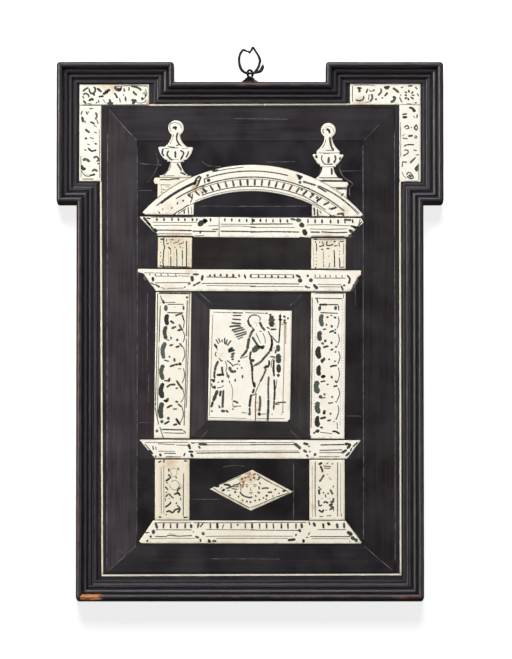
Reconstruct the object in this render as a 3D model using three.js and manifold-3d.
// A wall panel in ebony, inlaid with engraved bone: an eared, moulded frame around a flat
// ground, with a little temple front let into it, and an iron loop at the top to hang it by.
//
// All sizes are millimetres. +Z is up, +X is the viewer's right, the front faces -Y and the
// wall is the plane y = 0. The origin is the hanging point: the spot on the wall behind the
// bar across the top of the iron loop. Outlines are drawn in the plane of the wall as
// [x, z] points, and "height" always means the distance out from the wall.

import * as THREE from 'three';
import { mergeVertices } from 'three/addons/utils/BufferGeometryUtils.js';
import Module from 'manifold-3d';

// The frame's outer edge
const FRAME = {
  bodyHalf: 128.9, earHalf: 143.85, earInnerHalf: 56.4,
  earTop: -8.5, middleTop: -23.4, earFoot: -114, foot: -409.5,
};

// Heights out from the wall
const BOARD_FRONT = 9;
const POCKET_FLOOR = 10.4;
const GROUND_FRONT = 12;

// The section of the frame moulding: how far in from its outer edge, and how high
const MOULDING = {
  width: 15.2,
  beadRadius: 2.3, beadHeight: 19.3,
  quirkEnd: 5.7, quirkHeight: 16.6,
  ovoloEnd: 8.6, ovoloTop: 18.2, ovoloFoot: 15.8,
  grooveEnd: 9.5, grooveHeight: 14.8,
  filletEnd: 11.1, filletHeight: 16.2,
  hollowEnd: 13.2, hollowHeight: 13.3,
  lipHeight: 13.8, lipRound: 0.5,
};

// The sawn joint around every piece of bone
const SAW_GAP = 0.3;

// The bone stringing, along its middle, and the engraved plates in the ears
const STRINGING = {
  width: 1.6,
  leftTop: -111, leftFoot: -109.4, right: 111.7,
  topLeft: -39.9, topRight: -39.3, joint: 9.8,
  footLeft: -390.8, footRight: -390.1,
};
const PLATES_LEFT = { end: 75.1, outer: 127.2, inner: 110.7, top: -24.4, step: -40.3, foot: -97.1 };
const PLATES_RIGHT = { end: 74.4, outer: 127.2, inner: 111.1, top: -23.9, step: -39.8, foot: -97.6 };

// The mitred ebony bands between the stringing and the field
const BAND_OUTER = { left: -106.1, right: 107.6, top: -42.1, foot: -388.6 };
const BAND_INNER = { left: -83.9, right: 84.1, top: -66.9, foot: -368.2 };
const BAND_CHAMFER = 0.3;

// The temple front. Each part was cut and laid by hand, so each leans a little, in degrees.
const ARCH = {
  x: 2.1, z: -122.8, lean: 0.6,
  half: 82.5, tip: 1.6, rise: 38.2, innerHalf: 59.6, innerRise: 18.3,
};
const PEDESTAL_LEFT = { top: 27.8, capFoot: 22.9, capHalf: 74.6, dieHalf: 71.2 };
const PEDESTAL_RIGHT = { top: 26.1, capFoot: 22.3, capHalf: 71.4, dieHalf: 69.8 };
const DIE_FOOT_INNER = 43.8;
const CORNICE = { x: 1, z: -131, lean: 0.4, joint: -23.8, top: 7.1, blockFoot: -7.4, foot: -8.2 };
const ARCHITRAVE = { x: -0.4, z: -171.1, lean: 0.4, top: 8.1 };
const DADO_CORNICE = { x: 0, z: -297, lean: 0.15, top: 7.1, foot: -7.1 };
const PLINTH = { x: 0, z: -358.6, lean: 0.1, top: 8.7, foot: -8.6 };
const FRIEZE_LEFT = { x: -55.9, z: -150.3, width: 25.7, height: 22.9, lean: 0.5 };
const FRIEZE_RIGHT = { x: 58.4, z: -151.2, width: 26, height: 22.9, lean: 0.5 };
const COLUMN_LEFT = { x: -57.4, z: -234.5, width: 26.8, height: 109, lean: 0.68 };
const COLUMN_RIGHT = { x: 57.8, z: -234.8, width: 25.9, height: 109, lean: 0.55 };
const DADO_LEFT = { x: -57.7, z: -327.1, width: 25.9, height: 45.1, lean: 0 };
const DADO_RIGHT = { x: 57.2, z: -327.2, width: 26.5, height: 45.1, lean: 0 };
const PLAQUE = { x: -0.1, z: -234.7, width: 61.3, height: 83, lean: 1, chip: 2.1 };
const SLIPS = { x: 0.4, z: -234.6, width: 88.4, height: 108.4, lean: 0.6, chamfer: 0.25 };
const LOZENGE = { x: 1.1, z: -327.6, half: 31.4, rise: 15.4, lean: 1.9 };

// The two urns on the pediment: half widths, and the heights where they change
const URN_LEFT = {
  x: -57.9, foot: 27.9,
  base: 11.8, baseHeight: 1.8, skirt: 9.6,
  stem: 3.9, footHeight: 11.8,
  collar: 6.4, collarHeight: 13.2,
  cup: 8, rim: 13.1, bulge: 1, rimHeight: 22.2, rimTop: 23.1, lidHeight: 23.1,
  shoulder: 8.4, neck: 3.2, neckHeight: 32,
  ball: 6,
};
const URN_RIGHT = {
  x: 55.6, foot: 26.4,
  base: 10.9, baseHeight: 2.2, skirt: 8.9,
  stem: 4.2, footHeight: 10.6,
  collar: 6.1, collarHeight: 12.3,
  cup: 7, rim: 11.8, bulge: 0.35, rimHeight: 19.5, rimTop: 20.3, lidHeight: 22.6,
  shoulder: 8.7, neck: 2.9, neckHeight: 33.2,
  ball: 5.7,
};

// The iron hanger: a wire loop, bent up from one length, that hangs in a screw eye
const HANGER_HEIGHT = 6.8;
const RING_WIRE = 0.95;
const CURL_WIRE = 1.15;
const EYE_CENTRE = -15.9;
const EYE_RADIUS = 2.75;
const EYE_WIRE = 0.85;
const EYE_TURN = 45;
const FLANGE = { radius: 6.6, edge: 1.4, dome: 2.9, domeRadius: 4.6, neck: 3.1, neckHeight: 4.3, top: 4.9 };

const EBONY = { color: 0x241d21, roughness: 0.42, metalness: 0 };
const WORN_EBONY = { color: 0x3a2620, roughness: 0.5, metalness: 0 };
const BONE = { color: 0xf1ecdc, roughness: 0.45, metalness: 0 };
const IRON = { color: 0x1d1f1e, roughness: 0.6, metalness: 0.9 };
const BOARD = { color: 0x3b2b20, roughness: 0.8, metalness: 0 };

const wasm = await Module();
wasm.setup();

const panel = new THREE.Group();

function addPiece(name, geometry, finish) {
  const mesh = new THREE.Mesh(geometry, new THREE.MeshStandardMaterial(finish));
  mesh.name = name;
  panel.add(mesh);
  return mesh;
}

// Solids and booleans

function bareGeometry(geometry) {
  const bare = geometry.index ? geometry.toNonIndexed() : geometry.clone();
  bare.deleteAttribute('normal');
  bare.deleteAttribute('uv');
  return mergeVertices(bare, 1e-5);
}

function toSolid(geometry) {
  const bare = bareGeometry(geometry);
  const vertProperties = new Float32Array(bare.attributes.position.array);
  const triVerts = new Uint32Array(bare.index.array);
  return new wasm.Manifold(new wasm.Mesh({ numProp: 3, vertProperties, triVerts }));
}

function toGeometry(solid) {
  const mesh = solid.getMesh();
  const geometry = new THREE.BufferGeometry();
  geometry.setAttribute('position', new THREE.BufferAttribute(mesh.vertProperties, 3));
  geometry.setIndex(new THREE.BufferAttribute(mesh.triVerts, 1));
  geometry.computeVertexNormals();
  return geometry;
}

function cut(geometry, cutters) {
  let solid = toSolid(geometry);
  for (const cutter of cutters) {
    solid = solid.subtract(toSolid(cutter));
  }
  return toGeometry(solid);
}

function join(geometries) {
  return toGeometry(geometries.map(toSolid).reduce((whole, next) => whole.add(next)));
}

// A flat piece: an outline in the wall plane, between two heights.
function slab(outline, back, front) {
  const shape = new THREE.Shape(outline.map(([x, z]) => new THREE.Vector2(x, z)));
  const geometry = new THREE.ExtrudeGeometry(shape, { depth: front - back, bevelEnabled: false });
  geometry.rotateX(Math.PI / 2);
  geometry.translate(0, -back, 0);
  return geometry;
}

// Outlines

// Turns an outline clockwise, as seen from the front, and sets it down at [x, z].
function laid(outline, { x, z, lean }) {
  const angle = THREE.MathUtils.degToRad(lean);
  const cos = Math.cos(angle);
  const sin = Math.sin(angle);
  return outline.map(([u, v]) => [x + u * cos + v * sin, z - u * sin + v * cos]);
}

// Moves each side of an anticlockwise outline outwards by a distance, inwards if it is negative.
function grown(outline, distance) {
  const count = outline.length;
  return outline.map(([x, z], i) => {
    const [px, pz] = outline[(i + count - 1) % count];
    const [nx, nz] = outline[(i + 1) % count];
    const before = new THREE.Vector2(z - pz, px - x).normalize();
    const after = new THREE.Vector2(nz - z, x - nx).normalize();
    const mitre = before.clone().add(after);
    const scale = distance / Math.max(0.3, (1 + before.dot(after)));
    return [x + mitre.x * scale, z + mitre.y * scale];
  });
}

function rectangle(width, height) {
  return [
    [-width / 2, -height / 2],
    [width / 2, -height / 2],
    [width / 2, height / 2],
    [-width / 2, height / 2],
  ];
}

function corners(left, foot, right, top) {
  return [[left, foot], [right, foot], [right, top], [left, top]];
}

// A strip of a given width along a line.
function strip(from, to, width) {
  const along = new THREE.Vector2(to[0] - from[0], to[1] - from[1]).setLength(width / 2);
  const [dx, dz] = [along.y, -along.x];
  return [
    [from[0] + dx, from[1] + dz],
    [to[0] + dx, to[1] + dz],
    [to[0] - dx, to[1] - dz],
    [from[0] - dx, from[1] - dz],
  ];
}

// The height of a shallow arc over its chord, and points along a stretch of it.
function arcHeight(half, rise, x) {
  const radius = (half * half + rise * rise) / (2 * rise);
  return rise - radius + Math.sqrt(radius * radius - x * x);
}

function arc(half, rise, foot, from, to, steps) {
  const points = [];
  for (let i = 0; i <= steps; i += 1) {
    const x = from + ((to - from) * i) / steps;
    points.push([x, foot + arcHeight(half, rise, x)]);
  }
  return points;
}

// A curve from one point to another, pulled towards a third.
function bend(from, pull, to, steps) {
  const curve = new THREE.QuadraticBezierCurve(
    new THREE.Vector2(...from),
    new THREE.Vector2(...pull),
    new THREE.Vector2(...to),
  );
  return curve.getPoints(steps).map((p) => [p.x, p.y]);
}

function mirrored(outline) {
  return outline.map(([x, z]) => [-x, z]).reverse();
}

// Bone: every piece is cut half a saw gap small, and its pocket half a gap large.

const pockets = [];

function hole(outline, floor) {
  return slab(grown(outline, SAW_GAP / 2), floor, GROUND_FRONT + 1);
}

function boneSlab(outline) {
  pockets.push(hole(outline, POCKET_FLOOR));
  return slab(grown(outline, -SAW_GAP / 2), POCKET_FLOOR, GROUND_FRONT);
}

function addBone(name, outline) {
  addPiece(name, boneSlab(outline), BONE);
}

// Mitred strips

// A strip between an outer and an inner line, both from one mitre to the next. The section's
// points are [part of the way in, height], in order around it.
function mitredStrip(outerStart, outerEnd, innerStart, innerEnd, section) {
  const positions = [];
  for (const [outer, inner] of [[outerStart, innerStart], [outerEnd, innerEnd]]) {
    for (const [part, height] of section) {
      const x = outer[0] + (inner[0] - outer[0]) * part;
      const z = outer[1] + (inner[1] - outer[1]) * part;
      positions.push(x, -height, z);
    }
  }
  const count = section.length;
  const faces = THREE.ShapeUtils.triangulateShape(section.map((p) => new THREE.Vector2(...p)), []);
  const index = [];
  for (const [a, b, c] of faces) {
    index.push(a, c, b);
    index.push(count + a, count + b, count + c);
  }
  for (let i = 0; i < count; i += 1) {
    const j = (i + 1) % count;
    index.push(i, j, count + i);
    index.push(j, count + j, count + i);
  }
  const geometry = new THREE.BufferGeometry();
  geometry.setAttribute('position', new THREE.Float32BufferAttribute(positions, 3));
  geometry.setIndex(index);
  geometry.computeVertexNormals();
  return geometry;
}

function addMitredRing(names, outer, inner, section, finish, cutters = []) {
  const count = outer.length;
  names.forEach((name, i) => {
    const j = (i + 1) % count;
    const whole = mitredStrip(outer[i], outer[j], inner[i], inner[j], section);
    addPiece(name, cutters.length > 0 ? cut(whole, cutters) : whole, finish);
  });
}

// The frame

function frameOutline() {
  const { bodyHalf, earHalf, earInnerHalf, earTop, middleTop, earFoot, foot } = FRAME;
  const right = [
    [bodyHalf, foot],
    [bodyHalf, earFoot],
    [earHalf, earFoot],
    [earHalf, earTop],
    [earInnerHalf, earTop],
    [earInnerHalf, middleTop],
  ];
  return [...right, ...mirrored(right)];
}

function mouldingSection() {
  const m = MOULDING;
  const beadSteps = 10;
  const ovoloSteps = 5;
  const hollowSteps = 5;
  const section = [
    [m.width, BOARD_FRONT],
    [m.width, m.lipHeight - m.lipRound],
    [m.width - m.lipRound, m.lipHeight],
    [m.hollowEnd, m.lipHeight],
  ];
  const low = m.hollowHeight;
  const hollow = [[m.hollowEnd, low], [m.filletEnd, low], [m.filletEnd, m.filletHeight]];
  section.push(...bend(...hollow, hollowSteps));
  section.push([m.grooveEnd, m.filletHeight], [m.grooveEnd, m.grooveHeight], [m.ovoloEnd, m.grooveHeight]);
  const ovolo = [[m.ovoloEnd, m.ovoloFoot], [m.ovoloEnd, m.ovoloTop], [m.quirkEnd, m.ovoloTop]];
  section.push(...bend(...ovolo, ovoloSteps));
  section.push([m.quirkEnd, m.quirkHeight], [2 * m.beadRadius, m.quirkHeight]);
  for (let i = 0; i <= beadSteps; i += 1) {
    const angle = (Math.PI * i) / beadSteps;
    section.push([m.beadRadius * (1 + Math.cos(angle)), m.beadHeight + m.beadRadius * Math.sin(angle)]);
  }
  section.push([0, BOARD_FRONT]);
  return section.map(([across, height]) => [across / m.width, height]);
}

function addFrame() {
  const outer = frameOutline();
  const inner = grown(outer, -MOULDING.width);
  addPiece('backboard', slab(outer, 0, BOARD_FRONT), BOARD);
  const names = [
    'moulding_right',
    'moulding_ear_foot_right',
    'moulding_ear_side_right',
    'moulding_ear_top_right',
    'moulding_ear_return_right',
    'moulding_top_middle',
    'moulding_ear_return_left',
    'moulding_ear_top_left',
    'moulding_ear_side_left',
    'moulding_ear_foot_left',
    'moulding_left',
    'moulding_bottom',
  ];
  addMitredRing(names, outer, inner, mouldingSection(), WORN_EBONY);
  return inner;
}

// Slips of ebony let in flush, with their two front edges eased

function slipSection(chamfer, width) {
  const edge = chamfer / width;
  const low = GROUND_FRONT - chamfer;
  return [
    [1, POCKET_FLOOR],
    [1, low],
    [1 - edge, GROUND_FRONT],
    [edge, GROUND_FRONT],
    [0, low],
    [0, POCKET_FLOOR],
  ];
}

// Four slips between two rectangles, mitred at the corners, in a groove cut for them.
function addSlips(names, outer, inner, chamfer, cutters) {
  const island = slab(grown(inner, -SAW_GAP / 2), BOARD_FRONT, GROUND_FRONT + 2);
  pockets.push(cut(hole(outer, POCKET_FLOOR), [island]));
  const width = inner[0][1] - outer[0][1];
  addMitredRing(names, outer, inner, slipSection(chamfer, width), EBONY, cutters);
}

// The bone was let in last, so its pockets run on through the bands.
function addBands() {
  const [outer, inner] = [BAND_OUTER, BAND_INNER].map((b) => corners(b.left, b.foot, b.right, b.top));
  const names = ['ebony_band_bottom', 'ebony_band_right', 'ebony_band_top', 'ebony_band_left'];
  addSlips(names, outer, inner, BAND_CHAMFER, [...pockets]);
}

// Stringing and ear plates

function addStringing() {
  const { width, leftTop, leftFoot, right, topLeft, topRight, joint, footLeft, footRight } = STRINGING;
  const half = width / 2;
  const left = strip([leftFoot, footLeft + half], [leftTop, PLATES_LEFT.foot], width);
  addBone('stringing_left', left);
  addBone('stringing_right', strip([right, footRight + half], [right, PLATES_RIGHT.foot], width));
  addBone('stringing_bottom', strip([leftFoot - half, footLeft], [right + half, footRight], width));
  const [topStart, topEnd] = [-PLATES_LEFT.end, PLATES_RIGHT.end];
  const meets = topLeft + ((topRight - topLeft) * (joint - topStart)) / (topEnd - topStart);
  addBone('stringing_top_left', strip([topStart, topLeft], [joint, meets], width));
  addBone('stringing_top_right', strip([joint, meets], [topEnd, topRight], width));
}

function flatPlate(plates) {
  return corners(plates.end, plates.step, plates.outer, plates.top);
}

function uprightPlate(plates) {
  return corners(plates.inner, plates.foot, plates.outer, plates.step);
}

function addEarPlates() {
  addBone('ear_plate_top_right', flatPlate(PLATES_RIGHT));
  addBone('ear_plate_side_right', uprightPlate(PLATES_RIGHT));
  addBone('ear_plate_top_left', mirrored(flatPlate(PLATES_LEFT)));
  addBone('ear_plate_side_left', mirrored(uprightPlate(PLATES_LEFT)));
}

// The pediment: a bow with two urns behind it

function addArch() {
  const { half, tip, rise, innerHalf, innerRise } = ARCH;
  const cornerIn = 2.2;
  const outline = [
    [innerHalf, 0],
    [half - cornerIn, 0],
    ...arc(half, rise - tip, tip, half, -half, 32),
    [cornerIn - half, 0],
    [-innerHalf, 0],
    ...arc(innerHalf, innerRise, 0, -innerHalf, innerHalf, 20).slice(1, -1),
  ];
  addBone('arch', laid(outline, ARCH));
}

// Everything that lies under the bow's outer edge, with the saw gap: what stands behind the
// bow is cut away by this.
function underArch() {
  const { half, tip, rise } = ARCH;
  const outline = [...arc(half, rise - tip, tip, half, -half, 32), [-half, -2], [half, -2]];
  return slab(grown(laid(outline, ARCH), SAW_GAP / 2), 0, GROUND_FRONT + 1);
}

function addBehindArch(name, outline) {
  addPiece(name, cut(boneSlab(outline), [underArch()]), BONE);
}

function pedestalOutline({ top, capFoot, capHalf, dieHalf }) {
  const low = 10;
  const meets = 46;
  const undercut = 1.4;
  const overhang = 0.6;
  const end = capHalf - undercut;
  const round = bend([end, capFoot], [capHalf + overhang, (top + capFoot) / 2], [end, top], 6);
  return [[meets, low], [dieHalf, low], [dieHalf, capFoot], ...round, [meets, top]];
}

function addPedestals() {
  addBehindArch('urn_pedestal_right', laid(pedestalOutline(PEDESTAL_RIGHT), ARCH));
  addBehindArch('urn_pedestal_left', laid(mirrored(pedestalOutline(PEDESTAL_LEFT)), ARCH));
}

function addDieFeet() {
  const { innerHalf, innerRise } = ARCH;
  const slope = arc(innerHalf, innerRise, 0, innerHalf - 3, DIE_FOOT_INNER, 6);
  const outline = [[DIE_FOOT_INNER, 0], [innerHalf - 1.5, 0], ...slope];
  addBone('pedestal_foot_right', laid(outline, ARCH));
  addBone('pedestal_foot_left', laid(mirrored(outline), ARCH));
}

function urnOutline(urn) {
  const side = [[urn.base, 0], [urn.base, urn.baseHeight]];
  const footPull = [urn.stem + 0.6, urn.baseHeight + (urn.footHeight - urn.baseHeight) * 0.35];
  side.push(...bend([urn.skirt, urn.baseHeight], footPull, [urn.stem, urn.footHeight], 6));
  side.push([urn.collar, urn.footHeight], [urn.collar, urn.collarHeight]);
  const straight = (urn.cup + urn.rim) / 2;
  const full = urn.rim - 1;
  const cupPull = [
    straight + (full - straight) * urn.bulge,
    urn.collarHeight + (urn.rimHeight - urn.collarHeight) * (0.5 - 0.1 * urn.bulge),
  ];
  side.push(...bend([urn.cup, urn.collarHeight], cupPull, [urn.rim, urn.rimHeight], 6));
  side.push([urn.rim - 0.7, urn.rimTop], [urn.shoulder, urn.rimTop]);
  if (urn.lidHeight > urn.rimTop) {
    side.push([urn.shoulder, urn.lidHeight]);
  }
  const neckPull = [urn.neck + 0.4, urn.lidHeight + (urn.neckHeight - urn.lidHeight) * 0.45];
  side.push(...bend([urn.shoulder - 0.6, urn.lidHeight + 0.5], neckPull, [urn.neck, urn.neckHeight], 6));
  const start = -Math.acos(urn.neck / urn.ball);
  const centre = urn.neckHeight - urn.ball * Math.sin(start);
  const steps = 10;
  for (let i = 1; i < steps; i += 1) {
    const angle = start + ((Math.PI / 2 - start) * i) / steps;
    side.push([urn.ball * Math.cos(angle), centre + urn.ball * Math.sin(angle)]);
  }
  const whole = [...side, [0, centre + urn.ball], ...mirrored(side)];
  return laid(whole.map(([u, v]) => [urn.x + u, urn.foot + v]), ARCH);
}

function addUrns() {
  addBehindArch('urn_left', urnOutline(URN_LEFT));
  addBehindArch('urn_right', urnOutline(URN_RIGHT));
}

// The entablatures and the plinth, with their splayed ends

function addCornice() {
  const { joint, top, blockFoot, foot } = CORNICE;
  const left = [
    [-69.9, blockFoot],
    [-42.8, blockFoot],
    [-42.8, foot],
    [joint, foot],
    [joint, top],
    [-83, top],
    [-83.2, top - 0.8],
  ];
  const right = [
    [joint, foot],
    [44.3, foot],
    [44.3, blockFoot],
    [71.9, blockFoot],
    [83.7, 3.8],
    [81.7, top],
    [joint, top],
  ];
  addBone('cornice_left', laid(left, CORNICE));
  addBone('cornice_right', laid(right, CORNICE));
}

function addArchitrave() {
  const { top } = ARCHITRAVE;
  const outline = [
    [-69.7, -8.6],
    [75, -7.9],
    [81.1, 3],
    [83.1, 4.8],
    [83.1, top],
    [-83.2, top],
    [-83.2, 5.5],
    [-79, 4.4],
    [-71.3, -6.4],
  ];
  addBone('architrave', laid(outline, ARCHITRAVE));
}

function addDadoCornice() {
  const { top, foot } = DADO_CORNICE;
  const outline = [[-70.5, foot], [72.2, foot], [82.5, top], [-82.6, top]];
  addBone('dado_cornice', laid(outline, DADO_CORNICE));
}

function addPlinth() {
  const { top, foot } = PLINTH;
  const outline = [[-80.4, foot], [82.3, foot], [83, -7.5], [71, top], [-71.9, top], [-82.4, -7.1]];
  addBone('plinth', laid(outline, PLINTH));
}

// The engraved plates

function addPlates() {
  const plates = [
    ['frieze_block_left', FRIEZE_LEFT],
    ['frieze_block_right', FRIEZE_RIGHT],
    ['column_left', COLUMN_LEFT],
    ['column_right', COLUMN_RIGHT],
    ['dado_panel_left', DADO_LEFT],
    ['dado_panel_right', DADO_RIGHT],
  ];
  for (const [name, plate] of plates) {
    addBone(name, laid(rectangle(plate.width, plate.height), plate));
  }
  const { half, rise } = LOZENGE;
  addBone('lozenge', laid([[0, -rise], [half, 0], [0, rise], [-half, 0]], LOZENGE));
}

function addPlaque() {
  const { width, height, chip } = PLAQUE;
  const [footLeft, footRight, topRight, topLeft] = rectangle(width, height);
  const outline = [
    footLeft,
    [footRight[0] - chip, footRight[1]],
    [footRight[0], footRight[1] + chip],
    topRight,
    topLeft,
  ];
  addBone('plaque', laid(outline, PLAQUE));
  const outer = laid(rectangle(SLIPS.width, SLIPS.height), SLIPS);
  const inner = grown(laid(rectangle(width, height), PLAQUE), SAW_GAP / 2);
  const names = ['plaque_frame_bottom', 'plaque_frame_right', 'plaque_frame_top', 'plaque_frame_left'];
  addSlips(names, outer, inner, SLIPS.chamfer, []);
}

// The ground, with a pocket for each piece of bone

function addGround(outline) {
  addPiece('ebony_ground', cut(slab(outline, BOARD_FRONT, GROUND_FRONT), pockets), EBONY);
}

// The iron hanger

function wire(points, radius, steps) {
  const route = new THREE.CatmullRomCurve3(
    points.map(([x, z]) => new THREE.Vector3(x, 0, z)),
    false,
    'centripetal',
  );
  const section = new THREE.Shape();
  section.absarc(0, 0, radius, 0, 2 * Math.PI, false);
  return new THREE.ExtrudeGeometry(section, {
    extrudePath: route,
    steps,
    curveSegments: 5,
    bevelEnabled: false,
  });
}

function addRing() {
  const dip = [-0.1, 0.2];
  const curl = [9.4, -10.3];
  const left = [
    curl,
    [8.9, -12.7],
    [7, -14.3],
    [4, -15],
    [0, -15.6],
    [-3, -15.4],
    [-5.8, -13.4],
    [-7.3, -10.8],
    [-8.3, -6.4],
    [-7.7, -2],
    [-5.1, 2],
    [-2.3, 1.2],
    dip,
  ];
  const right = [
    dip,
    [1, 2],
    [2, 3.9],
    [4.8, 0.1],
    [7.3, -4.7],
    [7.1, -8.2],
    [6.1, -11],
    [3.7, -14.6],
  ];
  const tip = new THREE.SphereGeometry(CURL_WIRE, 10, 8);
  tip.translate(curl[0], 0, curl[1]);
  const ring = join([wire(left, RING_WIRE, 48), wire(right, RING_WIRE, 28), tip]);
  ring.translate(0, -HANGER_HEIGHT, 0);
  addPiece('hanging_ring', ring, IRON);
}

function addEye() {
  const loop = new THREE.TorusGeometry(EYE_RADIUS, EYE_WIRE, 10, 24);
  loop.rotateX(Math.PI / 2);
  loop.rotateZ(THREE.MathUtils.degToRad(EYE_TURN));
  loop.translate(0, 0, EYE_CENTRE);
  const f = FLANGE;
  const profile = [
    [0, 0],
    [f.radius - 0.3, 0],
    [f.radius, 0.4],
    [f.radius - 0.2, f.edge],
    ...bend([f.radius - 0.8, f.edge + 0.6], [f.domeRadius, f.dome], [f.neck, f.neckHeight], 4),
    [f.neck - 0.9, f.top],
    [0, f.top],
  ];
  const stem = new THREE.LatheGeometry(profile.map((p) => new THREE.Vector2(...p)), 24);
  stem.rotateX(Math.PI / 2);
  stem.translate(0, 0, FRAME.middleTop);
  const eye = join([stem, loop]);
  eye.translate(0, -HANGER_HEIGHT, 0);
  addPiece('screw_eye', eye, IRON);
}

const groundOutline = addFrame();
addStringing();
addEarPlates();
addArch();
addPedestals();
addDieFeet();
addUrns();
addCornice();
addArchitrave();
addDadoCornice();
addPlinth();
addPlates();
addPlaque();
addBands();
addGround(groundOutline);
addRing();
addEye();

export default panel;
